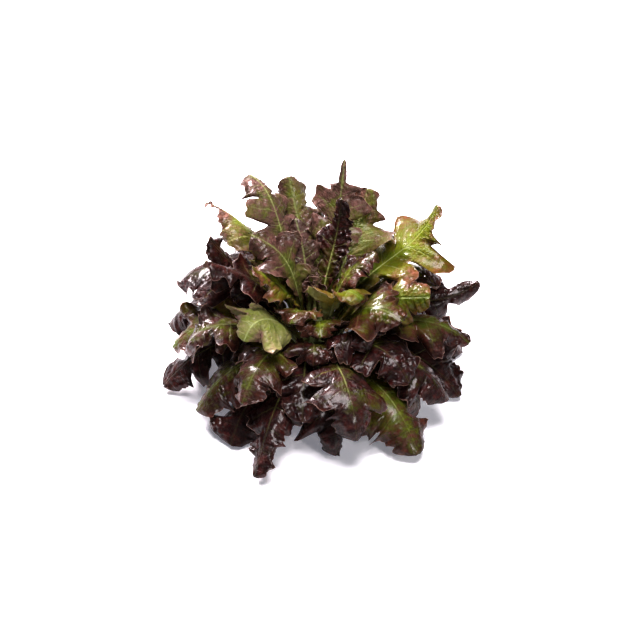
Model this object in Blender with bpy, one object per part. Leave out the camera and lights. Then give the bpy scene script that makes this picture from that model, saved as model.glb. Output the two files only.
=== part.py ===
"""A head of red oak leaf lettuce, cut below its lowest leaves and standing on the cut.

Lengths are in metres and +Z is up. The origin is the middle of the stem's cut face, which
lies on the surface. Angles are in degrees. An azimuth runs counter-clockwise from +X, seen
from above, so the front of the head is at 270.

Every leaf is one thin waved blade with lobes down both sides. Its midrib is a curve from
the stem to the tip, and its blade is laid out from that line along the side veins, which
lean towards the tip. The leaves stand in four whorls round the stem, with the small leaves
of the heart joined in one body on its top. No two leaves cross: each one draws its waves
again, a little calmer each time, until it lies clear of those already placed.
"""

import math
from dataclasses import dataclass, replace

import bmesh
import bpy
import numpy as np
from mathutils.bvhtree import BVHTree

MM = 0.001
SEED = 7

# The stem, from its cut face to the growing tip
STEM_RADIUS = 18 * MM
STEM_TIP_RADIUS = 7.5 * MM
STEM_HEIGHT = 60 * MM
STEM_SIDES = 20
LOWEST_ROOT = 8 * MM
HIGHEST_ROOT = 54 * MM
ROOT_GAP = 0.4 * MM

# The core that carries the leaves of the heart, above the stem's tip
CORE_RADIUS = 5 * MM
CORE_HEIGHT = 14 * MM
CORE_SIDES = 10

# The blades
BLADE = 0.8 * MM
RIB_AT_ROOT = 2.2 * MM
STALK_HALF_WIDTH = 3.4 * MM
HIGH_STALK_HALF_WIDTH = 2.2 * MM
TIP_HALF_WIDTH = 20 * MM
VEIN_LEAN = 26
VEIN_FAN = 6.5
TROUGH = 30
ROLL_SPREAD = 34
NOTCH_DEPTH = (0.42, 0.66)
LOBE_ROUNDNESS = 1.6
FIRST_LOBE = 0.34
LAST_LOBE = 0.86
LOWEST_LEAF = 0.6 * MM

# How much a blade follows the round of the head, and the tightest round it follows
WRAP = 0.75
LEAST_WRAP_RADIUS = 14 * MM

# How far the leaves keep apart, and how often one is drawn again to find a clear place
CLEARANCE = 0.6 * MM
TRIES = 30
ROUNDS = 20

# Slope of the midrib at the root, from the lowest leaf to the highest, and how much
# higher or lower the leaves of one whorl end, so that neighbours pass over each other
LOWEST_RISE = 34
HIGHEST_RISE = 81
STAGGER = 24

# How far, on the whole, a tip swings round the head and a blade turns round its midrib
LOOSE_SWAY = 5
LOOSE_TWIST = 14

# How many points span a blade from edge to edge
ACROSS = 5
HEART_ACROSS = 3


@dataclass
class Leaf:
    """One leaf. Reach, height and width are in millimetres."""

    name: str
    azimuth: float  # where it leaves the stem
    reach: float  # of the tip from the head's axis
    height: float  # of the tip above the surface
    fall: float  # slope of the midrib at the tip, below 0 where it hangs
    width: float  # of half the blade, along its side veins
    rise: float = 0.0  # slope of the midrib where it leaves the stem
    twist: float = 0.0  # of the blade round its midrib, root to tip
    sway: float = 0.0  # of the tip round the head, away from the root's azimuth
    curl: float = -20.0  # of the lobes, below 0 where they roll back
    wave: float = 4.0  # height of the margin's waves
    lobes: int = 3  # down each side, without the one at the tip
    end: float = 0.5  # width of the lobe at the tip, as a share: small where it is pointed
    root: tuple = (0.0, 0.0)  # how far from the head's axis it starts, and how high


@dataclass
class Whorl:
    """A ring of like leaves: where they stand, and the leaf that the ring repeats."""

    name: str
    azimuths: tuple
    low_rank: float  # place on the stem, 0 at the lowest leaf and 1 at the highest
    high_rank: float
    leaf: Leaf
    colour: tuple


WHORLS = (
    Whorl(
        "outer_leaf",
        (8, 40, 72, 104, 136, 164, 190, 214, 236, 256, 277, 297, 319, 347),
        0.0,
        0.26,
        Leaf("", 0, reach=140, height=8, fall=-62, width=60, curl=-30, wave=5),
        (0.065, 0.028, 0.03),
    ),
    Whorl(
        "middle_leaf",
        (6, 36, 66, 96, 126, 156, 184, 208, 234, 262, 285, 308, 332),
        0.28,
        0.52,
        Leaf("", 0, reach=128, height=58, fall=-48, width=58, curl=-25, wave=6),
        (0.085, 0.045, 0.035),
    ),
    Whorl(
        "upper_leaf",
        (28, 50, 74, 96, 121, 148, 166, 186, 232, 266, 299, 325, 352),
        0.54,
        0.78,
        Leaf("", 0, reach=104, height=122, fall=25, width=52, curl=-30, wave=6),
        (0.11, 0.11, 0.05),
    ),
    Whorl(
        "inner_leaf",
        (20, 62, 109, 158, 195, 238, 280, 315),
        0.8,
        1.0,
        Leaf("", 0, reach=58, height=122, fall=40, width=40, curl=-25, wave=5, lobes=2),
        (0.13, 0.14, 0.05),
    ),
)

# Leaves that stand out, as the changes from their whorl's leaf
NOTABLE = {
    "outer_leaf_07": dict(reach=142, height=7, width=38, curl=-45),
    "outer_leaf_08": dict(reach=132, height=24, width=62),
    "outer_leaf_09": dict(reach=134, height=5, width=60),
    "outer_leaf_10": dict(reach=166, height=4, width=36, fall=-25, sway=0, twist=50),
    "outer_leaf_11": dict(reach=128, height=6, width=50),
    "outer_leaf_12": dict(reach=158, height=5, width=64, fall=-50),
    "outer_leaf_13": dict(reach=142, height=20, width=52),
    "outer_leaf_14": dict(reach=140, height=10, width=52, fall=-45, sway=-8),
    "middle_leaf_01": dict(reach=156, height=72, fall=25, width=36, twist=70, curl=-50),
    "middle_leaf_07": dict(reach=130, height=30, width=48, fall=-45, sway=4),
    "middle_leaf_08": dict(reach=124, height=46, width=38, fall=-80, twist=40),
    "middle_leaf_09": dict(height=56, width=50),
    "middle_leaf_10": dict(reach=118, height=42, width=42, fall=-60, curl=-5),
    "middle_leaf_11": dict(reach=144, height=24, width=54, fall=-65),
    "middle_leaf_12": dict(reach=120, height=50, width=44),
    "middle_leaf_13": dict(reach=142, height=44, width=52, fall=-40, sway=8, end=0.3),
    "upper_leaf_01": dict(reach=122, height=138, fall=60, width=62, curl=-15, sway=-4, end=0.25),
    "upper_leaf_02": dict(reach=94, height=146, fall=55, width=46, curl=-15),
    "upper_leaf_03": dict(reach=82, height=174, fall=70, width=46, curl=-20, end=0.12),
    "upper_leaf_04": dict(reach=90, height=156, fall=40, width=46, sway=10),
    "upper_leaf_05": dict(reach=104, height=145, fall=10, width=48),
    "upper_leaf_06": dict(reach=132, height=130, fall=0, width=38, twist=40, curl=-40, sway=-6, end=0.2),
    "upper_leaf_07": dict(reach=94, height=132, fall=40, width=42),
    "upper_leaf_08": dict(reach=96, height=118, fall=20, width=44, twist=40),
    "upper_leaf_09": dict(reach=92, height=82, fall=-50, width=50, sway=0, twist=-40),
    "upper_leaf_10": dict(reach=80, height=62, fall=-60, width=42, sway=0, twist=0),
    "upper_leaf_11": dict(reach=82, height=62, fall=-70, width=44, wave=7),
    "upper_leaf_12": dict(reach=94, height=94, fall=-30, width=46),
    "upper_leaf_13": dict(reach=106, height=104, fall=20, width=36, twist=60),
    "inner_leaf_02": dict(reach=54, height=134, fall=66, width=28, rise=76),
    "inner_leaf_03": dict(reach=50, height=128, fall=66, width=28, rise=76),
    "inner_leaf_06": dict(reach=56, height=94, fall=-20, width=36),
    "inner_leaf_07": dict(reach=60, height=76, fall=-45, width=34),
    "inner_leaf_08": dict(reach=58, height=93, fall=-20, width=36),
}

LEAF_ROUGHNESS = 0.4
HEART_COLOUR = (0.2, 0.1, 0.07)
STEM_COLOUR = (0.55, 0.6, 0.32)
STEM_ROUGHNESS = 0.5

# The heart's leaves, by how far out they stand: reach, height and half width in millimetres
HEART_REACH = (5, 14)
HEART_TOP = (105, 90)
HEART_WIDTH = (12, 16)
HEART_LEAVES = 7
GOLDEN_ANGLE = 137.5


def smooth(x, low, high):
    """0 below low and 1 above high, with an even turn between."""
    t = np.clip((x - low) / (high - low), 0, 1)
    return t * t * (3 - 2 * t)


def unit(v):
    return v / np.linalg.norm(v, axis=-1, keepdims=True)


def heading(azimuth, slope=0.0):
    """The direction that points this way round the head, at this slope."""
    a, e = math.radians(azimuth), math.radians(slope)
    return np.array([math.cos(a) * math.cos(e), math.sin(a) * math.cos(e), math.sin(e)])


def stem_radius(z):
    share = np.clip(z / STEM_HEIGHT, 0, 1)
    return STEM_RADIUS + (STEM_TIP_RADIUS - STEM_RADIUS) * share**3


def stations(lobes):
    """Places along the midrib: a notch, a shoulder, the crest and a shoulder per lobe."""
    pitch = (LAST_LOBE - FIRST_LOBE) / lobes
    sinus = FIRST_LOBE - pitch / 2
    sides = sinus + np.arange(4 * lobes + 1) * pitch / 4
    tip = sides[-1] + (1 - sides[-1]) * np.array([0.33, 0.75, 1.0])
    return np.concatenate([[0.0, sides[0] * 0.5], sides, tip])


def midrib(leaf, share):
    """Points of the midrib and its directions there, at shares of its length."""
    root = heading(leaf.azimuth) * leaf.root[0]
    root[2] = leaf.root[1]
    tip = heading(leaf.azimuth + leaf.sway) * leaf.reach * MM
    tip[2] = leaf.height * MM
    chord = np.linalg.norm(tip - root)
    handles = np.array(
        [
            root,
            root + heading(leaf.azimuth, leaf.rise) * chord * 0.5,
            tip - heading(leaf.azimuth + 1.6 * leaf.sway, leaf.fall) * chord * 0.4,
            tip,
        ]
    )
    t = np.linspace(0, 1, 200)[:, None]
    weights = np.hstack([(1 - t) ** 3, 3 * t * (1 - t) ** 2, 3 * t * t * (1 - t), t**3])
    line = weights @ handles
    run = np.concatenate([[0], np.cumsum(np.linalg.norm(np.diff(line, axis=0), axis=1))])
    at = share * run[-1]
    points = np.column_stack([np.interp(at, run, line[:, k]) for k in range(3)])
    slopes = unit(np.gradient(line, axis=0))
    along = unit(np.column_stack([np.interp(at, run, slopes[:, k]) for k in range(3)]))
    return points, along


def side_frames(leaf, share, along):
    """The direction across the blade and the one off its inner face, at each station."""
    level = heading(leaf.azimuth + 90)
    across = unit(level - along * (along @ level)[:, None])
    off = np.cross(along, across)
    turn = np.radians(leaf.twist) * smooth(share, 0.25, 0.95)[:, None]
    return across * np.cos(turn) + off * np.sin(turn), off * np.cos(turn) - across * np.sin(turn)


def lobe_phase(leaf, share):
    """Place within a lobe as an angle: 0 at its crest, half a turn in the notch beside it."""
    pitch = (LAST_LOBE - FIRST_LOBE) / leaf.lobes
    return 2 * math.pi * (np.minimum(share, LAST_LOBE) - FIRST_LOBE) / pitch


def end_lobe(leaf, share):
    """0 up to the last notch, 1 in the rounded lobe at the tip."""
    last_notch = LAST_LOBE - (LAST_LOBE - FIRST_LOBE) / leaf.lobes / 2
    return smooth(share, last_notch, LAST_LOBE)


def vein_lean(leaf, share):
    """How far the side veins lean towards the tip, in radians. They fan out in each lobe."""
    fan = VEIN_FAN * np.sin(lobe_phase(leaf, share)) * smooth(share, 0.2, 0.4)
    return np.radians((VEIN_LEAN + fan) * (1 - 0.8 * end_lobe(leaf, share)))


def half_width(leaf, share, shift, depth):
    """Half the blade's width down its side veins: a narrow stalk, then rounded lobes."""
    body = smooth(share, 0.04, 0.6)
    beyond = np.clip((share - LAST_LOBE) / (1 - LAST_LOBE), 0, 1)
    end = np.sqrt(1 - beyond**2 * 0.98)
    notch = 0.5 - 0.5 * np.cos(lobe_phase(leaf, share - shift))
    lobed = 1 - depth * notch**LOBE_ROUNDNESS * smooth(share, 0.1, 0.3)
    blade = leaf.width * MM * body * lobed * end * (1 - (1 - leaf.end) * end_lobe(leaf, share))
    high = leaf.root[1] / STEM_HEIGHT
    stalk = STALK_HALF_WIDTH + (HIGH_STALK_HALF_WIDTH - STALK_HALF_WIDTH) * high
    return np.maximum(blade, stalk * (1 - share) + TIP_HALF_WIDTH * leaf.end * end * share)


def blade_surface(leaf, draw, calm, share, spread):
    """The blade's middle surface: a point for each station and each place across.

    spread runs from -1 at the right edge to 1 at the left one. The blade is bent round the
    head's axis, and the side veins roll up or down with the lobe that they feed."""
    points, along = midrib(leaf, share)
    across, off = side_frames(leaf, share, along)
    lean = vein_lean(leaf, share)[:, None]
    trough = np.radians(TROUGH) * (1 - smooth(share, 0.1, 0.75))[:, None]
    centres = np.linspace(FIRST_LOBE, LAST_LOBE, leaf.lobes + 1)
    surface = np.zeros((len(share), len(spread), 3))
    for side in (-1, 1):
        rolls = leaf.curl + calm * draw.normal(0, ROLL_SPREAD, leaf.lobes + 1)
        shift, depth = draw.uniform(-0.02, 0.02), draw.uniform(*NOTCH_DEPTH)
        phase, waves = draw.uniform(0, 2 * math.pi), draw.uniform(2.2, 3.4)
        width = half_width(leaf, share, shift, depth)[:, None]
        roll = (np.radians(np.interp(share, centres, rolls)) * smooth(share, 0.15, 0.5))[:, None]
        bold = calm * leaf.wave * MM * smooth(share, 0.2, 0.6)
        ripple = (bold * np.sin(2 * math.pi * waves * share + phase))[:, None]
        own = spread * side >= 0
        place = np.abs(spread[own])[None]
        arc = width * place * np.sinc(roll * place / math.pi)
        out = arc * np.cos(trough + roll * place)
        lift = arc * np.sin(trough + roll * place) + ripple * place**2
        forward = (out * np.sin(lean))[..., None] * along[:, None]
        base = points[:, None] + forward + lift[..., None] * off[:, None]
        sideways = (side * out * np.cos(lean))[..., None] * across[:, None]
        surface[:, own] = bent_round(base, sideways)
    return surface


def bent_round(base, sideways):
    """The points moved sideways, with the part that runs round the head kept on its circle."""
    radius = np.hypot(base[..., 0], base[..., 1])
    tangent = np.stack([-base[..., 1], base[..., 0], 0 * radius], -1) / radius[..., None]
    round_part = np.sum(sideways * tangent, -1)
    moved = base + sideways - tangent * round_part[..., None]
    turn = WRAP * round_part / np.maximum(radius, LEAST_WRAP_RADIUS)
    x = moved[..., 0] * np.cos(turn) - moved[..., 1] * np.sin(turn)
    y = moved[..., 0] * np.sin(turn) + moved[..., 1] * np.cos(turn)
    turned = np.stack([x, y, moved[..., 2]], -1)
    return turned + tangent * (round_part * (1 - WRAP))[..., None]


def laid_on_surface(surface):
    """The same points, with any that would be under the surface laid along it."""
    rest = LOWEST_LEAF + RIB_AT_ROOT * 0.3
    high = surface[..., 2] - rest
    surface[..., 2] = rest + 0.5 * (high + np.sqrt(high**2 + (4 * MM) ** 2)) - 0.8 * MM
    surface[..., 2] = np.maximum(surface[..., 2], rest)
    return surface


def face_normals(surface):
    down = np.gradient(surface, axis=0)
    over = np.gradient(surface, axis=1)
    return unit(np.cross(down, over))


def grid_solid(surface, share, spread, skin):
    """Vertices and triangles of a closed blade round the middle surface.

    skin is added to the thickness on both sides, for the test of what lies clear. Both
    faces are split into the same triangles, so that they never cross."""
    rows, columns = surface.shape[:2]
    normals = face_normals(surface)
    blade = (BLADE + skin) / 2
    rib = RIB_AT_ROOT * (1 - smooth(share, 0.0, 0.45))[:, None] * (1 - np.abs(spread[None])) ** 0.5
    inner = surface + normals * blade
    outer = surface - normals * (blade + rib[..., None])
    vertices = np.concatenate([inner.reshape(-1, 3), outer.reshape(-1, 3)])
    index = np.arange(rows * columns).reshape(rows, columns)
    a, b = index[:-1, :-1].ravel(), index[:-1, 1:].ravel()
    c, d = index[1:, 1:].ravel(), index[1:, :-1].ravel()
    top = np.concatenate([np.column_stack([a, d, c]), np.column_stack([a, c, b])])
    under = top[:, ::-1] + rows * columns
    edge = np.concatenate([index[0, :-1], index[:-1, -1], index[-1, :0:-1], index[:0:-1, 0]])
    after = np.roll(edge, -1)
    low_edge, low_after = edge + rows * columns, after + rows * columns
    rim = np.concatenate(
        [np.column_stack([edge, after, low_after]), np.column_stack([edge, low_after, low_edge])]
    )
    return vertices, np.concatenate([top, under, rim])


def cut_to_stem(vertices, columns, rows):
    """Moves the root's own corners onto the stem's side, a hair clear of it."""
    for start in (0, rows * columns):
        root = vertices[start : start + columns]
        radius = stem_radius(root[:, 2]) + ROOT_GAP
        flat = np.linalg.norm(root[:, :2], axis=1)
        root[:, :2] *= (radius / flat)[:, None]
    return vertices


def leaf_solid(leaf, draw_seed, calm, skin=0.0):
    share = stations(leaf.lobes)
    spread = np.linspace(-1, 1, ACROSS if leaf.lobes > 1 else HEART_ACROSS)
    draw = np.random.default_rng(draw_seed)
    surface = laid_on_surface(blade_surface(leaf, draw, calm, share, spread))
    vertices, triangles = grid_solid(surface, share, spread, skin)
    if leaf.root[1] < STEM_HEIGHT * 0.95:
        vertices = cut_to_stem(vertices, len(spread), len(share))
    vertices[:, 2] = np.maximum(vertices[:, 2], LOWEST_LEAF)
    return vertices, triangles


def turned_solid(radii, heights, sides):
    """A closed turned body with flat ends, from its radii at these heights."""
    turn = np.linspace(0, 2 * math.pi, sides, endpoint=False)
    rings = [
        np.column_stack([r * np.cos(turn), r * np.sin(turn), np.full(sides, z)])
        for r, z in zip(radii, heights)
    ]
    here = np.arange(sides)
    after = (here + 1) % sides
    faces = []
    for k in range(len(rings) - 1):
        low, high = k * sides, (k + 1) * sides
        faces.append(np.column_stack([low + here, low + after, high + after]))
        faces.append(np.column_stack([low + here, high + after, high + here]))
    fan = here[1:-1]
    last = (len(rings) - 1) * sides
    faces.append(np.column_stack([0 * fan, fan + 1, fan]))
    faces.append(np.column_stack([0 * fan + last, last + fan, last + fan + 1]))
    return np.concatenate(rings), np.concatenate(faces)


def heart_pieces(skin=0.0):
    """The heart's core and its leaves, as the solids that are joined in one body."""
    heights = STEM_HEIGHT + ROOT_GAP + CORE_HEIGHT * np.array([0, 0.3, 0.75, 1])
    radii = CORE_RADIUS * np.array([0.7, 1, 0.9, 0.5])
    pieces = [turned_solid(radii, heights, CORE_SIDES)]
    for number, leaf in enumerate(heart_leaves()):
        pieces.append(leaf_solid(leaf, (SEED, HEART_LEAVES, number), 1, skin))
    return pieces


def tree_of(vertices, triangles):
    return BVHTree.FromPolygons(vertices.tolist(), triangles.tolist())


def all_leaves():
    """Every leaf of the whorls, each with its own changes and its place on the stem.

    In a whorl the leaves that end higher leave the stem higher and steeper, so that
    neighbours pass over each other."""
    leaves = []
    for whorl in WHORLS:
        count = len(whorl.azimuths)
        ring = []
        for k, azimuth in enumerate(whorl.azimuths):
            name = f"{whorl.name}_{k + 1:02d}"
            height = whorl.leaf.height + STAGGER * ((k * 5) % count / (count - 1) - 0.5)
            lobes = whorl.leaf.lobes - k % 2 if whorl.leaf.lobes > 2 else 2
            leaf = replace(whorl.leaf, name=name, azimuth=azimuth, height=height, lobes=lobes)
            draw = np.random.default_rng((SEED, len(leaves) + k))
            leaf = replace(leaf, sway=draw.normal(0, LOOSE_SWAY), twist=draw.normal(0, LOOSE_TWIST))
            ring.append(replace(leaf, **NOTABLE.get(name, {})))
        order = sorted(leaf.height for leaf in ring)
        for leaf in ring:
            step = order.index(leaf.height) / (count - 1)
            rank = whorl.low_rank + (whorl.high_rank - whorl.low_rank) * step
            high = LOWEST_ROOT + (HIGHEST_ROOT - LOWEST_ROOT) * rank
            rise = LOWEST_RISE + (HIGHEST_RISE - LOWEST_RISE) * rank**0.8
            leaves.append(replace(leaf, rise=leaf.rise or rise, root=(stem_radius(high), high)))
    return leaves


def heart_leaves():
    """The small leaves of the heart, from its middle outwards."""
    leaves = []
    for k in range(HEART_LEAVES):
        out = k / (HEART_LEAVES - 1)
        leaves.append(
            Leaf(
                "heart",
                azimuth=GOLDEN_ANGLE * k,
                reach=HEART_REACH[0] + (HEART_REACH[1] - HEART_REACH[0]) * out,
                height=HEART_TOP[0] + (HEART_TOP[1] - HEART_TOP[0]) * out,
                width=HEART_WIDTH[0] + (HEART_WIDTH[1] - HEART_WIDTH[0]) * out,
                rise=88 - 10 * out,
                fall=70 - 90 * out,
                curl=-15,
                wave=2.5,
                lobes=1,
                root=(0.7 * CORE_RADIUS, STEM_HEIGHT + CORE_HEIGHT * (0.75 - 0.4 * out)),
            )
        )
    return leaves


def drawn_leaf(leaf, number, again, attempt):
    """One attempt at a leaf: its moved copy, its seed, its calm and its tree."""
    late = attempt / TRIES
    calm = (1 - 0.75 * late) * (1 - 0.5 * again / ROUNDS)
    seed = (SEED, number, again, attempt)
    draw = np.random.default_rng(seed)
    loose = 2 + 4 * late + 5 * again / ROUNDS
    moved = replace(
        leaf,
        azimuth=leaf.azimuth + draw.normal(0, loose * 0.5),
        height=max(leaf.height + draw.normal(0, loose), 3),
        rise=leaf.rise + draw.normal(0, loose * 0.7),
        fall=leaf.fall + draw.normal(0, 2 * loose),
        width=leaf.width * (1 - 0.15 * late - 0.2 * again / ROUNDS),
        twist=leaf.twist * (0.6 + 0.4 * calm),
    )
    tree = tree_of(*leaf_solid(moved, seed, calm, 2 * CLEARANCE))
    return moved, seed, calm, tree


def crossings(tree, others):
    return sum(len(tree.overlap(other)) for other in others)


def place_leaves():
    """Every leaf with its seed and calm, drawn again until no two cross."""
    wanted = all_leaves()
    heart = [tree_of(*piece) for piece in heart_pieces(CLEARANCE)]
    placed = []
    for number, leaf in enumerate(wanted):
        trees = heart + [other[3] for other in placed]
        least = None
        for attempt in range(TRIES):
            trial = drawn_leaf(leaf, number, 0, attempt)
            count = crossings(trial[3], trees)
            if least is None or count < least:
                least, best = count, trial
            if not count:
                break
        placed.append(best)
    for again in range(1, ROUNDS):
        crossing = 0
        for number, leaf in enumerate(wanted):
            trees = heart + [other[3] for k, other in enumerate(placed) if k != number]
            least = crossings(placed[number][3], trees)
            if not least:
                continue
            crossing += 1
            for attempt in range(TRIES):
                trial = drawn_leaf(leaf, number, again, attempt)
                count = crossings(trial[3], trees)
                if count < least:
                    least, placed[number] = count, trial
                if not count:
                    break
        if not crossing:
            break
    return {leaf.name: (leaf, seed, calm) for leaf, seed, calm, tree in placed}


def new_object(name, vertices, triangles, colour, roughness):
    mesh = bpy.data.meshes.new(name)
    mesh.from_pydata(vertices.tolist(), [], triangles.tolist())
    mesh.shade_smooth()
    material = bpy.data.materials.new(name)
    material.use_nodes = True
    shader = material.node_tree.nodes["Principled BSDF"]
    shader.inputs["Base Color"].default_value = (*colour, 1)
    shader.inputs["Roughness"].default_value = roughness
    mesh.materials.append(material)
    made = bpy.data.objects.new(name, mesh)
    bpy.context.scene.collection.objects.link(made)
    return made


def make_stem():
    """The cut stem: a short cone with a flat face below and a rounded tip above."""
    heights = np.array([0, 0.02, 0.3, 0.55, 0.8, 0.95, 1]) * STEM_HEIGHT
    radii = stem_radius(heights) * np.array([0.94, 1, 1, 1, 1, 0.8, 0.45])
    new_object("stem", *turned_solid(radii, heights, STEM_SIDES), STEM_COLOUR, STEM_ROUGHNESS)


def fill_cavities(mesh):
    """Takes out the walls of any pocket that the union closed in, so that it is solid."""
    shape = bmesh.new()
    shape.from_mesh(mesh)
    bmesh.ops.triangulate(shape, faces=shape.faces)
    left = set(shape.faces)
    while left:
        shell = {left.pop()}
        front = list(shell)
        while front:
            for edge in front.pop().edges:
                for face in edge.link_faces:
                    if face in left:
                        left.remove(face)
                        shell.add(face)
                        front.append(face)
        corners = [[v.co for v in face.verts] for face in shell]
        if sum(a.dot(b.cross(c)) for a, b, c in corners) < 0:
            bmesh.ops.delete(shape, geom=list(shell), context="FACES")
    shape.to_mesh(mesh)
    shape.free()


def make_heart():
    """The small leaves joined with their core by one union."""
    pieces = heart_pieces()
    heart = new_object("heart", *pieces[0], HEART_COLOUR, LEAF_ROUGHNESS)
    repeats = bpy.data.collections.new("heart leaves")
    for number, piece in enumerate(pieces[1:]):
        leaf = new_object(f"heart_piece_{number}", *piece, HEART_COLOUR, LEAF_ROUGHNESS)
        bpy.context.scene.collection.objects.unlink(leaf)
        repeats.objects.link(leaf)
    join = heart.modifiers.new("join", "BOOLEAN")
    join.operation = "UNION"
    join.operand_type = "COLLECTION"
    join.collection = repeats
    join.solver = "MANIFOLD"
    bpy.context.view_layer.update()
    graph = bpy.context.evaluated_depsgraph_get()
    joined = bpy.data.meshes.new_from_object(heart.evaluated_get(graph))
    heart.modifiers.remove(join)
    heart.data = joined
    fill_cavities(joined)
    for obj in list(repeats.objects):
        bpy.data.objects.remove(obj)
    bpy.data.collections.remove(repeats)


def main():
    for obj in list(bpy.data.objects):
        bpy.data.objects.remove(obj)
    make_stem()
    make_heart()
    colours = {whorl.name: whorl.colour for whorl in WHORLS}
    for name, (leaf, seed, calm) in place_leaves().items():
        solid = leaf_solid(leaf, seed, calm)
        new_object(name, *solid, colours[name[:-3]], LEAF_ROUGHNESS)


main()
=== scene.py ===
"""A head of red oak leaf lettuce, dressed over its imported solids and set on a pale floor.

Lengths are in metres and +Z is up. The first half repeats the rules that shape and place the
leaves, so that every finely made blade here has the form of the solid that it replaces. The
second half makes the blades, their two-faced finish, the light and the camera.
"""

import math
from dataclasses import dataclass, replace

import bpy
import numpy as np
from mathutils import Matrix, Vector
from mathutils.bvhtree import BVHTree


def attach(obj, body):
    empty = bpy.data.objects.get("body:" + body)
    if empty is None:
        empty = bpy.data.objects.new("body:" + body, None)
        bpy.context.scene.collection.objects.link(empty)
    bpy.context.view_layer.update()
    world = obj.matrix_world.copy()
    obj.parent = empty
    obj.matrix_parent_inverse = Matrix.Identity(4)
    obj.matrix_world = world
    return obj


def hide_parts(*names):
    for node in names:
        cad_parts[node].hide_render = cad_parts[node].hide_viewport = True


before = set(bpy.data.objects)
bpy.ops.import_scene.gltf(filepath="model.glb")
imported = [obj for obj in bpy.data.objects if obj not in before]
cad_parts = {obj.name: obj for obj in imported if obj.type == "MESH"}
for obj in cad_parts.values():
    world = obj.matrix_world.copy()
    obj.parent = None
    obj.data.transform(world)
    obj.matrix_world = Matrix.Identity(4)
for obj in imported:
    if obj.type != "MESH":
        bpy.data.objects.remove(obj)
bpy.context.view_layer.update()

MM = 0.001
SEED = 7

# The stem, from its cut face to the growing tip
STEM_RADIUS = 18 * MM
STEM_TIP_RADIUS = 7.5 * MM
STEM_HEIGHT = 60 * MM
LOWEST_ROOT = 8 * MM
HIGHEST_ROOT = 54 * MM
ROOT_GAP = 0.4 * MM

# The core that carries the leaves of the heart, above the stem's tip
CORE_RADIUS = 5 * MM
CORE_HEIGHT = 14 * MM
CORE_SIDES = 10

# The blades: thickness, rib and widths
BLADE = 0.8 * MM
RIB_AT_ROOT = 2.2 * MM
STALK_HALF_WIDTH = 3.4 * MM
HIGH_STALK_HALF_WIDTH = 2.2 * MM
TIP_HALF_WIDTH = 20 * MM

# In degrees: how far the side veins lean to the tip and fan out, how steeply the halves of
# a blade rise from the midrib at its root, and how much the lobes differ in their roll
VEIN_LEAN = 26
VEIN_FAN = 6.5
TROUGH = 30
ROLL_SPREAD = 34

# The notches between the lobes, how round the lobes are, where along the blade the first
# and the last of them lie, and how many waves there are down a blade
NOTCH_DEPTH = (0.42, 0.66)
NOTCH_SHIFT = 0.02
LOBE_ROUNDNESS = 1.6
FIRST_LOBE = 0.34
LAST_LOBE = 0.86
WAVES = (2.2, 3.4)

# The lowest point of a leaf, how softly a blade that comes down is laid along the surface,
# and how far all blades are let down with it
LOWEST_LEAF = 0.6 * MM
LAID_SOFTLY = 4 * MM
LAID_SINK = 0.8 * MM

# A leaf that starts above this height has its root in the heart, not on the stem's side
SIDE_OF_STEM = STEM_HEIGHT * 0.95

# How much a blade follows the round of the head, and the tightest round it follows
WRAP = 0.75
LEAST_WRAP_RADIUS = 14 * MM

# How far the leaves keep apart, and how often one is drawn again to find a clear place
CLEARANCE = 0.6 * MM
TRIES = 30
ROUNDS = 20

# Slope of the midrib at the root, from the lowest leaf to the highest, and how much
# higher or lower the leaves of one whorl end, so that neighbours pass over each other
LOWEST_RISE = 34
HIGHEST_RISE = 81
STAGGER = 24

# How far, on the whole, a tip swings round the head and a blade turns round its midrib
LOOSE_SWAY = 5
LOOSE_TWIST = 14

# How many points span a blade from edge to edge
ACROSS = 5
HEART_ACROSS = 3


@dataclass
class Leaf:
    """One leaf. Reach, height, width and wave are in millimetres, and angles in degrees."""

    name: str
    azimuth: float  # where it leaves the stem
    reach: float  # of the tip from the head's axis
    height: float  # of the tip above the surface
    fall: float  # slope of the midrib at the tip, below 0 where it hangs
    width: float  # of half the blade, along its side veins
    rise: float = 0.0  # slope of the midrib where it leaves the stem
    twist: float = 0.0  # of the blade round its midrib, root to tip
    sway: float = 0.0  # of the tip round the head, away from the root's azimuth
    curl: float = -20.0  # of the lobes, below 0 where they roll back
    wave: float = 4.0  # height of the margin's waves
    lobes: int = 3  # down each side, without the one at the tip
    end: float = 0.5  # width of the lobe at the tip, as a share: small where it is pointed
    root: tuple = (0.0, 0.0)  # how far from the head's axis it starts, and how high


@dataclass
class Whorl:
    """A ring of like leaves: where they stand, and the leaf that the ring repeats."""

    name: str
    azimuths: tuple
    low_rank: float  # place on the stem, 0 at the lowest leaf and 1 at the highest
    high_rank: float
    leaf: Leaf


WHORLS = (
    Whorl(
        "outer_leaf",
        (8, 40, 72, 104, 136, 164, 190, 214, 236, 256, 277, 297, 319, 347),
        0.0,
        0.26,
        Leaf("", 0, reach=140, height=8, fall=-62, width=60, curl=-30, wave=5),
    ),
    Whorl(
        "middle_leaf",
        (6, 36, 66, 96, 126, 156, 184, 208, 234, 262, 285, 308, 332),
        0.28,
        0.52,
        Leaf("", 0, reach=128, height=58, fall=-48, width=58, curl=-25, wave=6),
    ),
    Whorl(
        "upper_leaf",
        (28, 50, 74, 96, 121, 148, 166, 186, 232, 266, 299, 325, 352),
        0.54,
        0.78,
        Leaf("", 0, reach=104, height=122, fall=25, width=52, curl=-30, wave=6),
    ),
    Whorl(
        "inner_leaf",
        (20, 62, 109, 158, 195, 238, 280, 315),
        0.8,
        1.0,
        Leaf("", 0, reach=58, height=122, fall=40, width=40, curl=-25, wave=5, lobes=2),
    ),
)

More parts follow.
